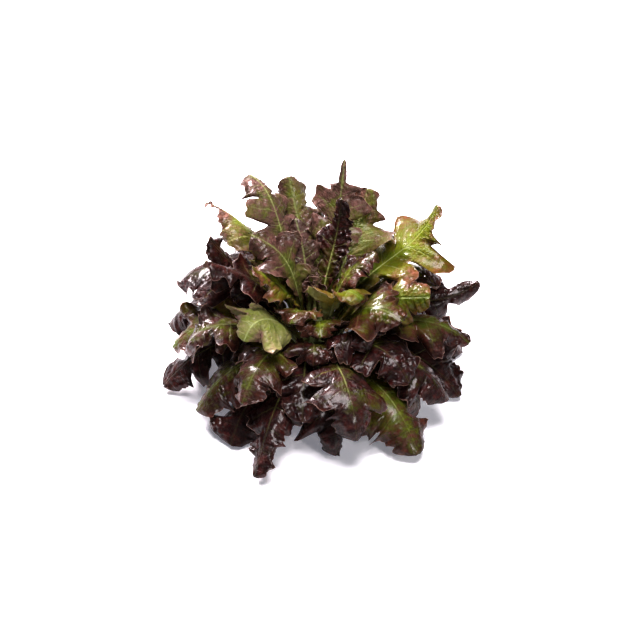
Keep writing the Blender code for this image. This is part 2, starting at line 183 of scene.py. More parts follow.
# Leaves that stand out, as the changes from their whorl's leaf
NOTABLE = {
    "outer_leaf_07": dict(reach=142, height=7, width=38, curl=-45),
    "outer_leaf_08": dict(reach=132, height=24, width=62),
    "outer_leaf_09": dict(reach=134, height=5, width=60),
    "outer_leaf_10": dict(reach=166, height=4, width=36, fall=-25, sway=0, twist=50),
    "outer_leaf_11": dict(reach=128, height=6, width=50),
    "outer_leaf_12": dict(reach=158, height=5, width=64, fall=-50),
    "outer_leaf_13": dict(reach=142, height=20, width=52),
    "outer_leaf_14": dict(reach=140, height=10, width=52, fall=-45, sway=-8),
    "middle_leaf_01": dict(reach=156, height=72, fall=25, width=36, twist=70, curl=-50),
    "middle_leaf_07": dict(reach=130, height=30, width=48, fall=-45, sway=4),
    "middle_leaf_08": dict(reach=124, height=46, width=38, fall=-80, twist=40),
    "middle_leaf_09": dict(height=56, width=50),
    "middle_leaf_10": dict(reach=118, height=42, width=42, fall=-60, curl=-5),
    "middle_leaf_11": dict(reach=144, height=24, width=54, fall=-65),
    "middle_leaf_12": dict(reach=120, height=50, width=44),
    "middle_leaf_13": dict(reach=142, height=44, width=52, fall=-40, sway=8, end=0.3),
    "upper_leaf_01": dict(reach=122, height=138, fall=60, width=62, curl=-15, sway=-4, end=0.25),
    "upper_leaf_02": dict(reach=94, height=146, fall=55, width=46, curl=-15),
    "upper_leaf_03": dict(reach=82, height=174, fall=70, width=46, curl=-20, end=0.12),
    "upper_leaf_04": dict(reach=90, height=156, fall=40, width=46, sway=10),
    "upper_leaf_05": dict(reach=104, height=145, fall=10, width=48),
    "upper_leaf_06": dict(reach=132, height=130, fall=0, width=38, twist=40, curl=-40, sway=-6, end=0.2),
    "upper_leaf_07": dict(reach=94, height=132, fall=40, width=42),
    "upper_leaf_08": dict(reach=96, height=118, fall=20, width=44, twist=40),
    "upper_leaf_09": dict(reach=92, height=82, fall=-50, width=50, sway=0, twist=-40),
    "upper_leaf_10": dict(reach=80, height=62, fall=-60, width=42, sway=0, twist=0),
    "upper_leaf_11": dict(reach=82, height=62, fall=-70, width=44, wave=7),
    "upper_leaf_12": dict(reach=94, height=94, fall=-30, width=46),
    "upper_leaf_13": dict(reach=106, height=104, fall=20, width=36, twist=60),
    "inner_leaf_02": dict(reach=54, height=134, fall=66, width=28, rise=76),
    "inner_leaf_03": dict(reach=50, height=128, fall=66, width=28, rise=76),
    "inner_leaf_06": dict(reach=56, height=94, fall=-20, width=36),
    "inner_leaf_07": dict(reach=60, height=76, fall=-45, width=34),
    "inner_leaf_08": dict(reach=58, height=93, fall=-20, width=36),
}

# The heart's leaves, by how far out they stand: reach, height and half width in millimetres
HEART_REACH = (5, 14)
HEART_TOP = (105, 90)
HEART_WIDTH = (12, 16)
HEART_LEAVES = 7
GOLDEN_ANGLE = 137.5


def smooth(x, low, high):
    """0 below low and 1 above high, with an even turn between."""
    t = np.clip((x - low) / (high - low), 0, 1)
    return t * t * (3 - 2 * t)


def unit(v):
    return v / np.linalg.norm(v, axis=-1, keepdims=True)


def heading(azimuth, slope=0.0):
    """The direction that points this way round the head, at this slope."""
    a, e = math.radians(azimuth), math.radians(slope)
    return np.array([math.cos(a) * math.cos(e), math.sin(a) * math.cos(e), math.sin(e)])


def stem_radius(z):
    share = np.clip(z / STEM_HEIGHT, 0, 1)
    return STEM_RADIUS + (STEM_TIP_RADIUS - STEM_RADIUS) * share**3


def stations(lobes):
    """Places along the midrib: a notch, a shoulder, the crest and a shoulder per lobe."""
    pitch = (LAST_LOBE - FIRST_LOBE) / lobes
    sinus = FIRST_LOBE - pitch / 2
    sides = sinus + np.arange(4 * lobes + 1) * pitch / 4
    tip = sides[-1] + (1 - sides[-1]) * np.array([0.33, 0.75, 1.0])
    return np.concatenate([[0.0, sides[0] * 0.5], sides, tip])


def midrib(leaf, share):
    """Points of the midrib and its directions there, at shares of its length."""
    root = heading(leaf.azimuth) * leaf.root[0]
    root[2] = leaf.root[1]
    tip = heading(leaf.azimuth + leaf.sway) * leaf.reach * MM
    tip[2] = leaf.height * MM
    chord = np.linalg.norm(tip - root)
    handles = np.array(
        [
            root,
            root + heading(leaf.azimuth, leaf.rise) * chord * 0.5,
            tip - heading(leaf.azimuth + 1.6 * leaf.sway, leaf.fall) * chord * 0.4,
            tip,
        ]
    )
    t = np.linspace(0, 1, 200)[:, None]
    weights = np.hstack([(1 - t) ** 3, 3 * t * (1 - t) ** 2, 3 * t * t * (1 - t), t**3])
    line = weights @ handles
    run = np.concatenate([[0], np.cumsum(np.linalg.norm(np.diff(line, axis=0), axis=1))])
    at = share * run[-1]
    points = np.column_stack([np.interp(at, run, line[:, k]) for k in range(3)])
    slopes = unit(np.gradient(line, axis=0))
    along = unit(np.column_stack([np.interp(at, run, slopes[:, k]) for k in range(3)]))
    return points, along


def blade_line(leaf, share):
    """Points of the midrib, with the directions along it, across the blade and off its face."""
    points, along = midrib(leaf, share)
    level = heading(leaf.azimuth + 90)
    across = unit(level - along * (along @ level)[:, None])
    off = np.cross(along, across)
    turn = np.radians(leaf.twist) * smooth(share, 0.25, 0.95)[:, None]
    turned_across = across * np.cos(turn) + off * np.sin(turn)
    turned_off = off * np.cos(turn) - across * np.sin(turn)
    return points, along, turned_across, turned_off


def lobe_phase(leaf, share):
    """Place within a lobe as an angle: 0 at its crest, half a turn in the notch beside it."""
    pitch = (LAST_LOBE - FIRST_LOBE) / leaf.lobes
    return 2 * math.pi * (np.minimum(share, LAST_LOBE) - FIRST_LOBE) / pitch


def end_lobe(leaf, share):
    """0 up to the last notch, 1 in the rounded lobe at the tip."""
    last_notch = LAST_LOBE - (LAST_LOBE - FIRST_LOBE) / leaf.lobes / 2
    return smooth(share, last_notch, LAST_LOBE)


def vein_lean(leaf, share):
    """How far the side veins lean towards the tip, in radians. They fan out in each lobe."""
    fan = VEIN_FAN * np.sin(lobe_phase(leaf, share)) * smooth(share, 0.2, 0.4)
    return np.radians((VEIN_LEAN + fan) * (1 - 0.8 * end_lobe(leaf, share)))


def half_width(leaf, share, shift, depth):
    """Half the blade's width down its side veins: a narrow stalk, then rounded lobes."""
    body = smooth(share, 0.04, 0.6)
    beyond = np.clip((share - LAST_LOBE) / (1 - LAST_LOBE), 0, 1)
    end = np.sqrt(1 - beyond**2 * 0.98)
    notch = 0.5 - 0.5 * np.cos(lobe_phase(leaf, share - shift))
    lobed = 1 - depth * notch**LOBE_ROUNDNESS * smooth(share, 0.1, 0.3)
    blade = leaf.width * MM * body * lobed * end * (1 - (1 - leaf.end) * end_lobe(leaf, share))
    high = leaf.root[1] / STEM_HEIGHT
    stalk = STALK_HALF_WIDTH + (HIGH_STALK_HALF_WIDTH - STALK_HALF_WIDTH) * high
    return np.maximum(blade, stalk * (1 - share) + TIP_HALF_WIDTH * leaf.end * end * share)


def trough_angle(share):
    """Angle by which each half of the blade rises from the midrib, less towards the tip."""
    return np.radians(TROUGH) * (1 - smooth(share, 0.1, 0.75))[:, None]


def side_form(leaf, draw, calm, share):
    """What is drawn for one side: the notches' shift and depth, the lobes' roll, the waves."""
    centres = np.linspace(FIRST_LOBE, LAST_LOBE, leaf.lobes + 1)
    rolls = leaf.curl + calm * draw.normal(0, ROLL_SPREAD, leaf.lobes + 1)
    shift, depth = draw.uniform(-NOTCH_SHIFT, NOTCH_SHIFT), draw.uniform(*NOTCH_DEPTH)
    phase, waves = draw.uniform(0, 2 * math.pi), draw.uniform(*WAVES)
    roll = (np.radians(np.interp(share, centres, rolls)) * smooth(share, 0.15, 0.5))[:, None]
    bold = calm * leaf.wave * MM * smooth(share, 0.2, 0.6)
    ripple = (bold * np.sin(2 * math.pi * waves * share + phase))[:, None]
    return shift, depth, roll, ripple


def side_points(side, out, lift, lean, line):
    """Points of one side of the blade, from how far out and how far off the midrib they lie."""
    points, along, across, off = line
    forward = (out * np.sin(lean))[..., None] * along[:, None]
    base = points[:, None] + forward + lift[..., None] * off[:, None]
    sideways = (side * out * np.cos(lean))[..., None] * across[:, None]
    return bent_round(base, sideways)


def blade_surface(leaf, draw, calm, share, spread):
    """The blade's middle surface: a point for each station and each place across.

    spread runs from -1 at the right edge to 1 at the left one. The blade is bent round the
    head's axis, and the side veins roll up or down with the lobe that they feed."""
    line = blade_line(leaf, share)
    lean = vein_lean(leaf, share)[:, None]
    trough = trough_angle(share)
    surface = np.zeros((len(share), len(spread), 3))
    for side in (-1, 1):
        shift, depth, roll, ripple = side_form(leaf, draw, calm, share)
        width = half_width(leaf, share, shift, depth)[:, None]
        own = spread * side >= 0
        place = np.abs(spread[own])[None]
        arc = width * place * np.sinc(roll * place / math.pi)
        out = arc * np.cos(trough + roll * place)
        lift = arc * np.sin(trough + roll * place) + ripple * place**2
        surface[:, own] = side_points(side, out, lift, lean, line)
    return surface


def bent_round(base, sideways):
    """The points moved sideways, with the part that runs round the head kept on its circle."""
    radius = np.hypot(base[..., 0], base[..., 1])
    tangent = np.stack([-base[..., 1], base[..., 0], 0 * radius], -1) / radius[..., None]
    round_part = np.sum(sideways * tangent, -1)
    moved = base + sideways - tangent * round_part[..., None]
    turn = WRAP * round_part / np.maximum(radius, LEAST_WRAP_RADIUS)
    x = moved[..., 0] * np.cos(turn) - moved[..., 1] * np.sin(turn)
    y = moved[..., 0] * np.sin(turn) + moved[..., 1] * np.cos(turn)
    turned = np.stack([x, y, moved[..., 2]], -1)
    return turned + tangent * (round_part * (1 - WRAP))[..., None]


def laid_on_surface(surface):
    """The same points, with any that would be under the surface laid along it."""
    rest = LOWEST_LEAF + RIB_AT_ROOT * 0.3
    high = surface[..., 2] - rest
    surface[..., 2] = rest + 0.5 * (high + np.sqrt(high**2 + LAID_SOFTLY**2)) - LAID_SINK
    surface[..., 2] = np.maximum(surface[..., 2], rest)
    return surface


def face_normals(surface):
    down = np.gradient(surface, axis=0)
    over = np.gradient(surface, axis=1)
    return unit(np.cross(down, over))


def grid_corners(rows, columns):
    """Numbers of the corners of every quad of a grid, and of the points round its edge."""
    index = np.arange(rows * columns).reshape(rows, columns)
    a, b = index[:-1, :-1].ravel(), index[:-1, 1:].ravel()
    c, d = index[1:, 1:].ravel(), index[1:, :-1].ravel()
    edge = np.concatenate([index[0, :-1], index[:-1, -1], index[-1, :0:-1], index[:0:-1, 0]])
    return a, b, c, d, edge, np.roll(edge, -1)


def grid_solid(surface, share, spread, skin):
    """Vertices and triangles of a closed blade round the middle surface.

    skin is added to the thickness on both sides, for the test of what lies clear. Both
    faces are split into the same triangles, so that they never cross."""
    rows, columns = surface.shape[:2]
    normals = face_normals(surface)
    blade = (BLADE + skin) / 2
    rib = RIB_AT_ROOT * (1 - smooth(share, 0.0, 0.45))[:, None] * (1 - np.abs(spread[None])) ** 0.5
    inner = surface + normals * blade
    outer = surface - normals * (blade + rib[..., None])
    vertices = np.concatenate([inner.reshape(-1, 3), outer.reshape(-1, 3)])
    a, b, c, d, edge, after = grid_corners(rows, columns)
    top = np.concatenate([np.column_stack([a, d, c]), np.column_stack([a, c, b])])
    under = top[:, ::-1] + rows * columns
    low_edge, low_after = edge + rows * columns, after + rows * columns
    rim = np.concatenate(
        [np.column_stack([edge, after, low_after]), np.column_stack([edge, low_after, low_edge])]
    )
    return vertices, np.concatenate([top, under, rim])


def cut_to_stem(vertices, columns, rows):
    """Moves the root's own corners onto the stem's side, a hair clear of it."""
    for start in (0, rows * columns):
        root = vertices[start : start + columns]
        radius = stem_radius(root[:, 2]) + ROOT_GAP
        flat = np.linalg.norm(root[:, :2], axis=1)
        root[:, :2] *= (radius / flat)[:, None]
    return vertices


def leaf_solid(leaf, draw_seed, calm, skin=0.0):
    share = stations(leaf.lobes)
    spread = np.linspace(-1, 1, ACROSS if leaf.lobes > 1 else HEART_ACROSS)
    draw = np.random.default_rng(draw_seed)
    surface = laid_on_surface(blade_surface(leaf, draw, calm, share, spread))
    vertices, triangles = grid_solid(surface, share, spread, skin)
    if leaf.root[1] < SIDE_OF_STEM:
        vertices = cut_to_stem(vertices, len(spread), len(share))
    vertices[:, 2] = np.maximum(vertices[:, 2], LOWEST_LEAF)
    return vertices, triangles


def turned_solid(radii, heights, sides):
    """A closed turned body with flat ends, from its radii at these heights."""
    turn = np.linspace(0, 2 * math.pi, sides, endpoint=False)
    rings = [
        np.column_stack([r * np.cos(turn), r * np.sin(turn), np.full(sides, z)])
        for r, z in zip(radii, heights)
    ]
    here = np.arange(sides)
    after = (here + 1) % sides
    faces = []
    for k in range(len(rings) - 1):
        low, high = k * sides, (k + 1) * sides
        faces.append(np.column_stack([low + here, low + after, high + after]))
        faces.append(np.column_stack([low + here, high + after, high + here]))
    fan = here[1:-1]
    last = (len(rings) - 1) * sides
    faces.append(np.column_stack([0 * fan, fan + 1, fan]))
    faces.append(np.column_stack([0 * fan + last, last + fan, last + fan + 1]))
    return np.concatenate(rings), np.concatenate(faces)


def heart_pieces(skin=0.0):
    """The heart's core and its leaves, as the solids that are joined in one body."""
    heights = STEM_HEIGHT + ROOT_GAP + CORE_HEIGHT * np.array([0, 0.3, 0.75, 1])
    radii = CORE_RADIUS * np.array([0.7, 1, 0.9, 0.5])
    pieces = [turned_solid(radii, heights, CORE_SIDES)]
    for number, leaf in enumerate(heart_leaves()):
        pieces.append(leaf_solid(leaf, (SEED, HEART_LEAVES, number), 1, skin))
    return pieces


def tree_of(vertices, triangles):
    return BVHTree.FromPolygons(vertices.tolist(), triangles.tolist())


def all_leaves():
    """Every leaf of the whorls, each with its own changes and its place on the stem.

    In a whorl the leaves that end higher leave the stem higher and steeper, so that
    neighbours pass over each other."""
    leaves = []
    for whorl in WHORLS:
        count = len(whorl.azimuths)
        ring = []
        for k, azimuth in enumerate(whorl.azimuths):
            name = f"{whorl.name}_{k + 1:02d}"
            height = whorl.leaf.height + STAGGER * ((k * 5) % count / (count - 1) - 0.5)
            lobes = whorl.leaf.lobes - k % 2 if whorl.leaf.lobes > 2 else 2
            leaf = replace(whorl.leaf, name=name, azimuth=azimuth, height=height, lobes=lobes)
            draw = np.random.default_rng((SEED, len(leaves) + k))
            leaf = replace(leaf, sway=draw.normal(0, LOOSE_SWAY), twist=draw.normal(0, LOOSE_TWIST))
            ring.append(replace(leaf, **NOTABLE.get(name, {})))
        order = sorted(leaf.height for leaf in ring)
        for leaf in ring:
            step = order.index(leaf.height) / (count - 1)
            rank = whorl.low_rank + (whorl.high_rank - whorl.low_rank) * step
            high = LOWEST_ROOT + (HIGHEST_ROOT - LOWEST_ROOT) * rank
            rise = LOWEST_RISE + (HIGHEST_RISE - LOWEST_RISE) * rank**0.8
            leaves.append(replace(leaf, rise=leaf.rise or rise, root=(stem_radius(high), high)))
    return leaves


def heart_leaves():
    """The small leaves of the heart, from its middle outwards."""
    leaves = []
    for k in range(HEART_LEAVES):
        out = k / (HEART_LEAVES - 1)
        leaves.append(
            Leaf(
                "heart",
                azimuth=GOLDEN_ANGLE * k,
                reach=HEART_REACH[0] + (HEART_REACH[1] - HEART_REACH[0]) * out,
                height=HEART_TOP[0] + (HEART_TOP[1] - HEART_TOP[0]) * out,
                width=HEART_WIDTH[0] + (HEART_WIDTH[1] - HEART_WIDTH[0]) * out,
                rise=88 - 10 * out,
                fall=70 - 90 * out,
                curl=-15,
                wave=2.5,
                lobes=1,
                root=(0.7 * CORE_RADIUS, STEM_HEIGHT + CORE_HEIGHT * (0.75 - 0.4 * out)),
            )
        )
    return leaves


def drawn_leaf(leaf, number, again, attempt):
    """One attempt at a leaf: its moved copy, its seed, its calm and its tree."""
    late = attempt / TRIES
    calm = (1 - 0.75 * late) * (1 - 0.5 * again / ROUNDS)
    seed = (SEED, number, again, attempt)
    draw = np.random.default_rng(seed)
    loose = 2 + 4 * late + 5 * again / ROUNDS
    moved = replace(
        leaf,
        azimuth=leaf.azimuth + draw.normal(0, loose * 0.5),
        height=max(leaf.height + draw.normal(0, loose), 3),
        rise=leaf.rise + draw.normal(0, loose * 0.7),
        fall=leaf.fall + draw.normal(0, 2 * loose),
        width=leaf.width * (1 - 0.15 * late - 0.2 * again / ROUNDS),
        twist=leaf.twist * (0.6 + 0.4 * calm),
    )
    tree = tree_of(*leaf_solid(moved, seed, calm, 2 * CLEARANCE))
    return moved, seed, calm, tree


def crossings(tree, others):
    return sum(len(tree.overlap(other)) for other in others)


def place_leaves():
    """Every leaf with its seed and calm, drawn again until no two cross."""
    wanted = all_leaves()
    heart = [tree_of(*piece) for piece in heart_pieces(CLEARANCE)]
    placed = []
    for number, leaf in enumerate(wanted):
        trees = heart + [other[3] for other in placed]
        least = None
        for attempt in range(TRIES):
            trial = drawn_leaf(leaf, number, 0, attempt)
            count = crossings(trial[3], trees)
            if least is None or count < least:
                least, best = count, trial
            if not count:
                break
        placed.append(best)
    for again in range(1, ROUNDS):
        crossing = 0
        for number, leaf in enumerate(wanted):
            trees = heart + [other[3] for k, other in enumerate(placed) if k != number]
            least = crossings(placed[number][3], trees)
            if not least:
                continue
            crossing += 1
            for attempt in range(TRIES):
                trial = drawn_leaf(leaf, number, again, attempt)
                count = crossings(trial[3], trees)
                if count < least:
                    least, placed[number] = count, trial
                if not count:
                    break
        if not crossing:
            break
    return {leaf.name: (leaf, seed, calm) for leaf, seed, calm, tree in placed}


# How finely a blade is made here, and how its points crowd at the margin, more so towards 1
ROWS = 76
COLUMNS = 35
HEART_ROWS = 40
HEART_COLUMNS = 19
CROWDING = 0.86

# The fine blade's thickness, and a ridge that its rib has over the solid's
THIN_BLADE = 0.55 * MM
RIB_RIDGE = 1.1 * MM

# The margin: scallops and small teeth, as shares of the width and of the blade's length
SCALLOP = 0.07
SCALLOP_LENGTHS = (0.05, 0.13)
TEETH = 0.034
TOOTH_LENGTHS = (0.025, 0.045)

# How far the outer part of a lobe rolls on by itself, in degrees, the share of the width
# from which it does, and the share of the length in which that roll comes and goes
EDGE_CURL = 46
CURL_FROM = 0.5
CURL_LENGTHS = (0.16, 0.34)

# The frill along the margin. It has its full length on a blade of this half width in
# millimetres or more, and is finer on a narrower one
FRILL = 2.1 * MM
FRILL_LENGTH = 17 * MM
FULL_WIDTH = 48

# The puckers between the veins
PUCKER = 0.95 * MM
PUCKER_LENGTH = 9 * MM

VEINS_PER_LOBE = 2


def waves_along(draw, count, low, high):
    """A few sine waves of random length and phase, as functions of a place."""
    lengths = draw.uniform(low, high, count)
    phases = draw.uniform(0, 2 * math.pi, count)

    def height(place):
        return sum(np.sin(2 * math.pi * place / a + b) for a, b in zip(lengths, phases)) / count**0.5

    return height


def waves_of(draw, length):
    """Three waves of about this length."""
    return waves_along(draw, 3, 0.7 * length, 1.5 * length)


def cut_width(leaf, detail, share, shift, depth):
    """Half the blade's width with the scallops and teeth of its margin."""
    scallops = waves_along(detail, 3, *SCALLOP_LENGTHS)
    teeth = waves_along(detail, 2, *TOOTH_LENGTHS)
    width = half_width(leaf, share, shift, depth)
    cut = SCALLOP * scallops(share) + TEETH * teeth(share)
    return width * (1 + cut * smooth(share, 0.15, 0.35))


def rolled_out(angle, place, width):
    """How far out and how high each point lies, where the blade rolls by these angles."""
    order = np.argsort(place[0])
    near = place[0][order]
    steps = np.diff(near, prepend=0.0)
    turns = angle[:, order]
    middle = (turns + np.column_stack([turns[:, :1], turns[:, :-1]])) / 2
    out, lift = np.zeros_like(turns), np.zeros_like(turns)
    out[:, order] = np.cumsum(np.cos(middle) * steps, axis=1) * width[:, None]
    lift[:, order] = np.cumsum(np.sin(middle) * steps, axis=1) * width[:, None]
    return out, lift


def fine_blade(leaf, seed, calm, rows, columns):
    """The same blade as blade_surface's, finely sampled, with its frilled edge and puckers.

    It gives the points, and each point's distance across and along the blade."""
    share = np.linspace(0, 1, rows)
    turn = np.linspace(-1, 1, columns) * math.pi / 2 * CROWDING
    spread = np.sin(turn) / math.sin(math.pi / 2 * CROWDING)
    draw = np.random.default_rng(seed)
    detail = np.random.default_rng((*seed, 1))
    line = blade_line(leaf, share)
    length = np.linalg.norm(np.diff(line[0], axis=0), axis=1).sum()
    lean = vein_lean(leaf, share)[:, None]
    trough = trough_angle(share)
    run = (share * length)[:, None]
    surface = np.zeros((rows, columns, 3))
    sideway = np.zeros((rows, columns))
    for side in (-1, 1):
        shift, depth, roll, ripple = side_form(leaf, draw, calm, share)
        width = cut_width(leaf, detail, share, shift, depth)
        own = spread * side >= 0
        place = np.abs(spread[own])[None]
        # The outer part of each lobe rolls on by itself, one way or the other
        bends = waves_along(detail, 2, *CURL_LENGTHS)(share)
        own_curl = np.radians(EDGE_CURL) * (bends * smooth(share, 0.25, 0.5))[:, None]
        outer_part = np.clip((place - CURL_FROM) / (1 - CURL_FROM), 0, 1) ** 1.3
        angle = trough + 2 * roll * place + own_curl * outer_part
        out, lift = rolled_out(angle, place, width)
        # The frill grows towards the edge, and the puckers lie between the veins
        frill = waves_of(detail, FRILL_LENGTH * min(1, leaf.width / FULL_WIDTH))
        lift += FRILL * frill(run + 0.25 * out) * place**3 * smooth(share, 0.2, 0.4)[:, None]
        pucker_run, pucker_out = waves_of(detail, PUCKER_LENGTH), waves_of(detail, PUCKER_LENGTH)
        pucker = pucker_run(run + 0.5 * out) * pucker_out(out - 0.4 * run)
        lift += PUCKER * pucker * smooth(place, 0.05, 0.3) * smooth(share, 0.15, 0.3)[:, None]
        lift += ripple * place**2
        surface[:, own] = side_points(side, out, lift, lean, line)
        sideway[:, own] = side * width[:, None] * place
    return surface, share, spread, sideway, length


def fine_solid(surface, share, spread):
    """Vertices and faces of the closed blade: inner face, outer face with its rib, rim."""
    rows, columns = surface.shape[:2]
    normals = face_normals(surface)
    thin = THIN_BLADE / 2 * (1 - 0.5 * np.abs(spread)[None, :, None] ** 4)
    near_rib = np.exp(-((spread[None] * 9 * (0.35 + share[:, None])) ** 2))
    rib = (RIB_AT_ROOT * (1 - smooth(share, 0.0, 0.5)) + RIB_RIDGE * (1 - share))[:, None] * near_rib
    inner = surface + normals * thin
    outer = surface - normals * (thin + rib[..., None])
    a, b, c, d, edge, after = grid_corners(rows, columns)
    count = rows * columns
    faces = [
        np.column_stack([a, d, c, b]),
        np.column_stack([a, b, c, d]) + count,
        np.column_stack([edge, after, after + count, edge + count]),
    ]
    return np.concatenate([inner.reshape(-1, 3), outer.reshape(-1, 3)]), np.concatenate(faces)


# What the finish reads at each point of a blade, besides its place on the blade laid flat
MARKS = ("run", "edge", "side_vein", "inner_face", "pigment")


class BladeMesh:
    """Gathers one or more blades in one mesh, with what the finish needs at each point."""

    def __init__(self):
        self.vertices, self.faces, self.marks = [], [], []
        self.count = 0

    def add(self, leaf, seed, calm, rows, columns, pigment, paleness=0.0):
        """Adds a leaf's blade. paleness takes its inner face that far towards the outer one."""
        surface, share, spread, sideway, length = fine_blade(leaf, seed, calm, rows, columns)
        surface = laid_on_surface(surface)
        vertices, faces = fine_solid(surface, share, spread)
        if leaf.root[1] < SIDE_OF_STEM:
            vertices = cut_to_stem(vertices, columns, rows)
        vertices[:, 2] = np.maximum(vertices[:, 2], LOWEST_LEAF)
        along = np.repeat(share[:, None], columns, 1)
        side_vein = (along - FIRST_LOBE) * leaf.lobes / (LAST_LOBE - FIRST_LOBE) * VEINS_PER_LOBE
        edge = np.repeat(np.abs(spread)[None], rows, 0)
        marks = np.stack([sideway, along * length, along, edge, side_vein], -1).reshape(-1, 5)
        face = np.repeat([1.0 - paleness, 0.0], rows * columns)
        marks = np.column_stack([np.tile(marks, (2, 1)), face, np.full(len(face), pigment)])
        self.vertices.append(vertices)
        self.faces.append(faces + self.count)
        self.marks.append(marks)
        self.count += len(vertices)

    def piece(self, name, material):
        """The object that holds all the blades, with their marks and flat places."""
        vertices, faces = np.concatenate(self.vertices), np.concatenate(self.faces)
        marks = np.concatenate(self.marks)
        mesh = bpy.data.meshes.new(name)
        mesh.from_pydata(vertices.tolist(), [], faces.tolist())
        mesh.shade_smooth()
        for column, mark in enumerate(MARKS):
            values = mesh.attributes.new(mark, "FLOAT", "POINT")
            values.data.foreach_set("value", marks[:, column + 2].astype(np.float32))
        corners = np.zeros(len(mesh.loops), np.int32)
        mesh.loops.foreach_get("vertex_index", corners)
        flat = mesh.uv_layers.new(name="blade")
        flat.uv.foreach_set("vector", marks[corners, :2].astype(np.float32).ravel())
        mesh.materials.append(material)
        made = bpy.data.objects.new(name, mesh)
        bpy.context.scene.collection.objects.link(made)
        return made


class Signal:
    """A shader socket that takes part in sums: each sign adds one Math node."""

    def __init__(self, finish, socket):
        self.finish, self.socket = finish, socket

    def maths(self, operation, *values, clamp=False):
        settings = {"operation": operation, "use_clamp": clamp}
        return self.finish.node("ShaderNodeMath", settings, dict(enumerate(values)))

    def __add__(self, other):
        return self.maths("ADD", self, other)

    def __sub__(self, other):
        return self.maths("SUBTRACT", self, other)

    def __rsub__(self, other):
        return self.maths("SUBTRACT", other, self)

    def __mul__(self, other):
        return self.maths("MULTIPLY", self, other)

    def __abs__(self):
        return self.maths("ABSOLUTE", self)

    __radd__ = __add__
    __rmul__ = __mul__

    def or_more(self, other):
        """The larger of the two."""
        return self.maths("MAXIMUM", self, other)

    def clamped(self):
        return self.maths("ADD", self, 0.0, clamp=True)

    def step(self, low, high):
        """0 under low and 1 over high, with an even turn between."""
        settings = {"interpolation_type": "SMOOTHSTEP"}
        return self.finish.node("ShaderNodeMapRange", settings, {0: self, 1: low, 2: high, 3: 0.0, 4: 1.0})


class Finish:
    """One material, with a Principled shader that its sums feed."""

    def __init__(self, name):
        self.material = bpy.data.materials.new(name)
        self.material.use_nodes = True
        self.tree = self.material.node_tree
        self.shader = self.tree.nodes["Principled BSDF"]
        self.output = self.tree.nodes["Material Output"]

    def node(self, kind, settings, inputs, out=0):
        made = self.tree.nodes.new(kind)
        for name, value in settings.items():
            setattr(made, name, value)
        for key, value in inputs.items():
            self.feed(made.inputs[key], value)
        return Signal(self, made.outputs[out])

    def feed(self, socket, value):
        if isinstance(value, Signal):
            self.tree.links.new(value.socket, socket)
        else:
            socket.default_value = value

    def mark(self, name):
        return self.node("ShaderNodeAttribute", {"attribute_name": name}, {}, "Fac")

    def noise(self, place, scale, detail=3.0, roughness=0.55):
        inputs = {"Vector": place, "Scale": scale, "Detail": detail, "Roughness": roughness}
        return self.node("ShaderNodeTexNoise", {}, inputs)

    def cells(self, place, scale, feature):
        inputs = {"Vector": place, "Scale": scale}
        return self.node("ShaderNodeTexVoronoi", {"feature": feature}, inputs)

    def mix(self, share, first, second):
        """The first colour where share is 0, the second where it is 1."""
        inputs = {0: share, 6: first, 7: second}
        return self.node("ShaderNodeMix", {"data_type": "RGBA"}, inputs, 2)

    def bump(self, height, strength, distance):
        inputs = {"Height": height, "Strength": strength, "Distance": distance}
        return self.node("ShaderNodeBump", {}, inputs)

    def set(self, **values):
        for name, value in values.items():
            self.feed(self.shader.inputs[name.replace("_", " ")], value)


def colour(red, green, blue):
    return (red, green, blue, 1.0)


# The inner face, from green to purple, with its veins
DEEP_GREEN = colour(0.06, 0.1, 0.004)
FRESH_GREEN = colour(0.2, 0.25, 0.009)
BROWN_GREEN = colour(0.06, 0.05, 0.008)
RUSTY_OLIVE = colour(0.15, 0.055, 0.011)
DEEP_PURPLE = colour(0.012, 0.001, 0.002)
RED_PURPLE = colour(0.07, 0.012, 0.01)
SHADED_BROWN = colour(0.045, 0.012, 0.006)
LIGHT_BROWN = colour(0.22, 0.09, 0.05)
INNER_VEIN = colour(0.42, 0.45, 0.16)
INNER_FINE_VEIN = colour(0.13, 0.15, 0.04)

# The outer face, which is paler and duller
DULL_GREEN = colour(0.17, 0.2, 0.05)
PALE_GREEN = colour(0.3, 0.3, 0.13)
DULL_MAUVE = colour(0.12, 0.045, 0.05)
PALE_MAUVE = colour(0.26, 0.13, 0.14)
OUTER_VEIN = colour(0.42, 0.46, 0.2)
OUTER_FINE_VEIN = colour(0.27, 0.25, 0.16)

# The thin rim along the margin, and the light that comes through a green blade
LEAF_RIM = colour(0.36, 0.22, 0.17)
HEART_RIM = colour(0.55, 0.36, 0.3)
THROUGH_LIGHT = colour(0.62, 0.5, 0.03)

# The stem
STEM_FLESH = colour(0.42, 0.5, 0.2)
PALE_STEM_FLESH = colour(0.6, 0.64, 0.36)
CUT_BROWN = colour(0.42, 0.27, 0.12)
SHADED_GREEN = colour(0.09, 0.12, 0.02)


# Scales of the patterns: about this many patches, meshes or crinkles to a metre
PATCHES = 26.0
MOTTLES = 120.0
NET = 260.0
COARSE_NET = 95.0
BLISTERS = 150.0
CRINKLES = 340.0
GRAIN = 900.0
STEM_BLOTCHES = 160.0
PAPER_TONES = 3.0

# The pale line of the midrib: its width at the root, how much it narrows, its soft edge
RIB_LINE = 1.6 * MM
RIB_NARROWS = 1.1 * MM
RIB_SOFT_EDGE = 0.9 * MM

# Relief in the material, its gloss, and how much light a green blade lets through
RELIEF_STRENGTH = 0.85
RELIEF_DEPTH = 1.3 * MM
COAT_ROUGHNESS = 0.2
SPECULAR = 0.15
LEAF_GLOW = 0.22
HEART_GLOW = 0.35
LEAF_RIM_FROM = 0.97
HEART_RIM_FROM = 0.86


